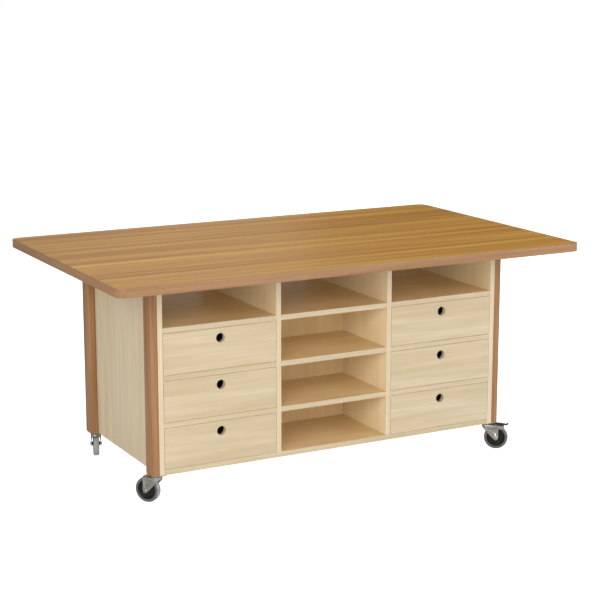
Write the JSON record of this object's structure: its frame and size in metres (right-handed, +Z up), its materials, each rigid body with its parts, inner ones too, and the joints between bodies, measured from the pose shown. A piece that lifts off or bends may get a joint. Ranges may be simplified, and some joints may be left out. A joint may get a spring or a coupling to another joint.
{
  "type": "sewing table",
  "caption": "Mobile sewing and cutting table: a large lipped worktop on a cabinet with drawers, shelves and through cubbies, standing on swivel casters with brakes.",
  "frame": {"origin": "on the floor, under the middle of the worktop", "axes": "+X to the right along the front, +Y from the drawer front towards the back, +Z up"},
  "size_m": [2, 1.194, 0.9],
  "materials": {
    "worktop_wood": "satin lacquered hardwood, long grain",
    "lipping_wood": "satin lacquered beech",
    "post_wood": "satin lacquered beech",
    "cabinet_wood": "satin lacquered birch",
    "drawer_front_wood": "satin lacquered birch, grain across",
    "drawer_tray_wood": "sealed birch plywood",
    "partition_wood": "sealed birch plywood",
    "caster_steel": "bright zinc plated",
    "hub_plastic": "moulded black",
    "tyre_rubber": "non-marking grey rubber",
    "pedal_plastic": "moulded black"
  },
  "bodies": {
    "root": {"worktop": "worktop_wood", "worktop_lipping": "lipping_wood", "side_left": "cabinet_wood", "side_right": "cabinet_wood", "cabinet_bottom": "cabinet_wood", "cabinet_top": "cabinet_wood", "divider_left": "cabinet_wood", "divider_right": "cabinet_wood", "shelf_upper_left": "cabinet_wood", "partition_left": "partition_wood", "shelf_front_left_1": "cabinet_wood", "shelf_front_left_2": "cabinet_wood", "shelf_upper_middle": "cabinet_wood", "partition_middle": "partition_wood", "shelf_front_middle_1": "cabinet_wood", "shelf_back_middle_1": "cabinet_wood", "shelf_front_middle_2": "cabinet_wood", "shelf_back_middle_2": "cabinet_wood", "shelf_upper_right": "cabinet_wood", "partition_right": "partition_wood", "shelf_front_right_1": "cabinet_wood", "shelf_front_right_2": "cabinet_wood", "post_front_left": "post_wood", "post_front_right": "post_wood", "post_back_left": "post_wood", "post_back_right": "post_wood", "caster_mount_fl": "caster_steel", "caster_mount_fr": "caster_steel", "caster_mount_bl": "caster_steel", "caster_mount_br": "caster_steel"},
    "drawer_left_1": {"drawer_front_left_1": "drawer_front_wood", "drawer_tray_left_1": "drawer_tray_wood"},
    "drawer_left_2": {"drawer_front_left_2": "drawer_front_wood", "drawer_tray_left_2": "drawer_tray_wood"},
    "drawer_left_3": {"drawer_front_left_3": "drawer_front_wood", "drawer_tray_left_3": "drawer_tray_wood"},
    "drawer_right_1": {"drawer_front_right_1": "drawer_front_wood", "drawer_tray_right_1": "drawer_tray_wood"},
    "drawer_right_2": {"drawer_front_right_2": "drawer_front_wood", "drawer_tray_right_2": "drawer_tray_wood"},
    "drawer_right_3": {"drawer_front_right_3": "drawer_front_wood", "drawer_tray_right_3": "drawer_tray_wood"},
    "caster_fl": {"caster_fork_fl": "caster_steel", "caster_axle_fl": "caster_steel"},
    "wheel_fl": {"caster_hub_fl": "hub_plastic", "caster_tyre_fl": "tyre_rubber"},
    "caster_fr": {"caster_fork_fr": "caster_steel", "caster_axle_fr": "caster_steel"},
    "wheel_fr": {"caster_hub_fr": "hub_plastic", "caster_tyre_fr": "tyre_rubber"},
    "pedal_fr": {"brake_pedal_fr": "pedal_plastic"},
    "caster_bl": {"caster_fork_bl": "caster_steel", "caster_axle_bl": "caster_steel"},
    "wheel_bl": {"caster_hub_bl": "hub_plastic", "caster_tyre_bl": "tyre_rubber"},
    "caster_br": {"caster_fork_br": "caster_steel", "caster_axle_br": "caster_steel"},
    "wheel_br": {"caster_hub_br": "hub_plastic", "caster_tyre_br": "tyre_rubber"},
    "pedal_br": {"brake_pedal_br": "pedal_plastic"}
  },
  "joints": [
    {"name": "drawer_left_1_slide", "type": "slide", "parent": "root", "child": "drawer_left_1", "axis": [0, -1, 0], "range_m": [0, 0.26]},
    {"name": "drawer_left_2_slide", "type": "slide", "parent": "root", "child": "drawer_left_2", "axis": [0, -1, 0], "range_m": [0, 0.26]},
    {"name": "drawer_left_3_slide", "type": "slide", "parent": "root", "child": "drawer_left_3", "axis": [0, -1, 0], "range_m": [0, 0.26]},
    {"name": "drawer_right_1_slide", "type": "slide", "parent": "root", "child": "drawer_right_1", "axis": [0, -1, 0], "range_m": [0, 0.26]},
    {"name": "drawer_right_2_slide", "type": "slide", "parent": "root", "child": "drawer_right_2", "axis": [0, -1, 0], "range_m": [0, 0.26]},
    {"name": "drawer_right_3_slide", "type": "slide", "parent": "root", "child": "drawer_right_3", "axis": [0, -1, 0], "range_m": [0, 0.26]},
    {"name": "caster_fl_swivel", "type": "hinge", "parent": "root", "child": "caster_fl", "pos_m": [-0.7525, -0.32, 0.11], "axis": [0, 0, 1], "continuous": true},
    {"name": "wheel_fl_spin", "type": "hinge", "parent": "caster_fl", "child": "wheel_fl", "pos_m": [-0.77663, -0.2881, 0.05], "axis": [-0.7976, -0.6032, 0], "continuous": true},
    {"name": "caster_fr_swivel", "type": "hinge", "parent": "root", "child": "caster_fr", "pos_m": [0.7525, -0.32, 0.11], "axis": [0, 0, 1], "continuous": true},
    {"name": "wheel_fr_spin", "type": "hinge", "parent": "caster_fr", "child": "wheel_fr", "pos_m": [0.78428, -0.3443, 0.05], "axis": [0.6074, 0.7944, 0], "continuous": true},
    {"name": "pedal_fr_press", "type": "hinge", "parent": "caster_fr", "child": "pedal_fr", "pos_m": [0.77872, -0.34004, 0.107], "axis": [0.6074, 0.7944, 0], "range_deg": [0, 10]},
    {"name": "caster_bl_swivel", "type": "hinge", "parent": "root", "child": "caster_bl", "pos_m": [-0.7525, 0.32, 0.11], "axis": [0, 0, 1], "continuous": true},
    {"name": "wheel_bl_spin", "type": "hinge", "parent": "caster_bl", "child": "wheel_bl", "pos_m": [-0.73928, 0.35775, 0.05], "axis": [-0.9438, 0.3305, 0], "continuous": true},
    {"name": "caster_br_swivel", "type": "hinge", "parent": "root", "child": "caster_br", "pos_m": [0.7525, 0.32, 0.11], "axis": [0, 0, 1], "continuous": true},
    {"name": "wheel_br_spin", "type": "hinge", "parent": "caster_br", "child": "wheel_br", "pos_m": [0.78904, 0.33627, 0.05], "axis": [-0.4067, 0.9135, 0], "continuous": true},
    {"name": "pedal_br_press", "type": "hinge", "parent": "caster_br", "child": "pedal_br", "pos_m": [0.78265, 0.33342, 0.107], "axis": [-0.4067, 0.9135, 0], "range_deg": [0, 10]}
  ]
}
